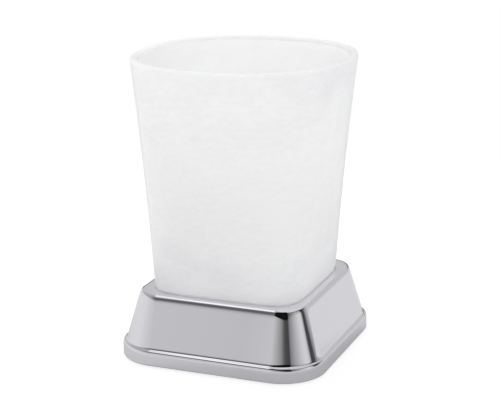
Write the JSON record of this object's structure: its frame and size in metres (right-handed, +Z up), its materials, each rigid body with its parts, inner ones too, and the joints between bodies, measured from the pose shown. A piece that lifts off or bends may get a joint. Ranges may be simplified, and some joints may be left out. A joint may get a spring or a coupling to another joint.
{
  "type": "bathroom tumbler",
  "caption": "Free-standing bathroom tumbler: a frosted glass cup with a square foot and a rounder rim, standing loose in a polished square metal base.",
  "frame": {"origin": "on the table, under the middle of the base: the bottom centre of the whole object's box", "axes": "+Z up; X and Y square to the base's flat sides, with -Y the side that faces the viewer's left in the picture and +X the side that faces the viewer's right"},
  "size_m": [0.0772, 0.0772, 0.1066],
  "materials": {
    "frosted_glass": "satin-etched, translucent white",
    "chrome": "polished chrome plating",
    "collar_plastic": "soft milky plastic",
    "pad_rubber": "matt foam rubber",
    "plate_steel": "zinc-plated sheet",
    "screw_steel": "zinc-plated",
    "foot_rubber": "matt"
  },
  "bodies": {
    "base": {"base_shell": "chrome", "seat_collar": "collar_plastic", "seat_pad": "pad_rubber", "bottom_plate": "plate_steel", "plate_screws": "screw_steel", "foot_front_left": "foot_rubber", "foot_front_right": "foot_rubber", "foot_back_left": "foot_rubber", "foot_back_right": "foot_rubber"},
    "cup": {"glass_cup": "frosted_glass"}
  },
  "joints": [
    {"name": "cup_lift", "type": "slide", "parent": "base", "child": "cup", "axis": [0, 0, 1], "range_m": [0, 0.04]}
  ]
}
